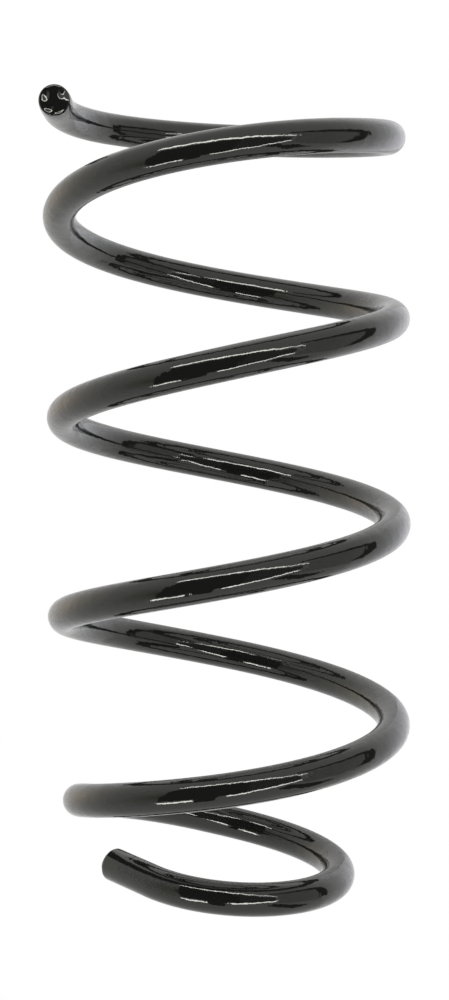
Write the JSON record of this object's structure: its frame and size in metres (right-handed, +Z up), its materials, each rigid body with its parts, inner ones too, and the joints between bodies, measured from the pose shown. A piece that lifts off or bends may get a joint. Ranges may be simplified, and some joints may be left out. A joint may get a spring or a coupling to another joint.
{
  "type": "suspension spring",
  "caption": "Black coated helical compression spring for a car strut, with a flat upper end coil and a smaller, raised lower end coil.",
  "frame": {"origin": "under the middle of the spring's box, at the height of the lowest point of the lower coil", "axes": "+Z up along the coil axis, towards the upper end coil; the picture looks along +Y, with +X to its right"},
  "size_m": [0.148, 0.1442, 0.3199],
  "materials": {
    "black_coating": "gloss black baked coating with a slight orange peel, over shot-peened spring steel bar"
  },
  "bodies": {
    "root": {"coil_spring": "black_coating"}
  },
  "joints": []
}
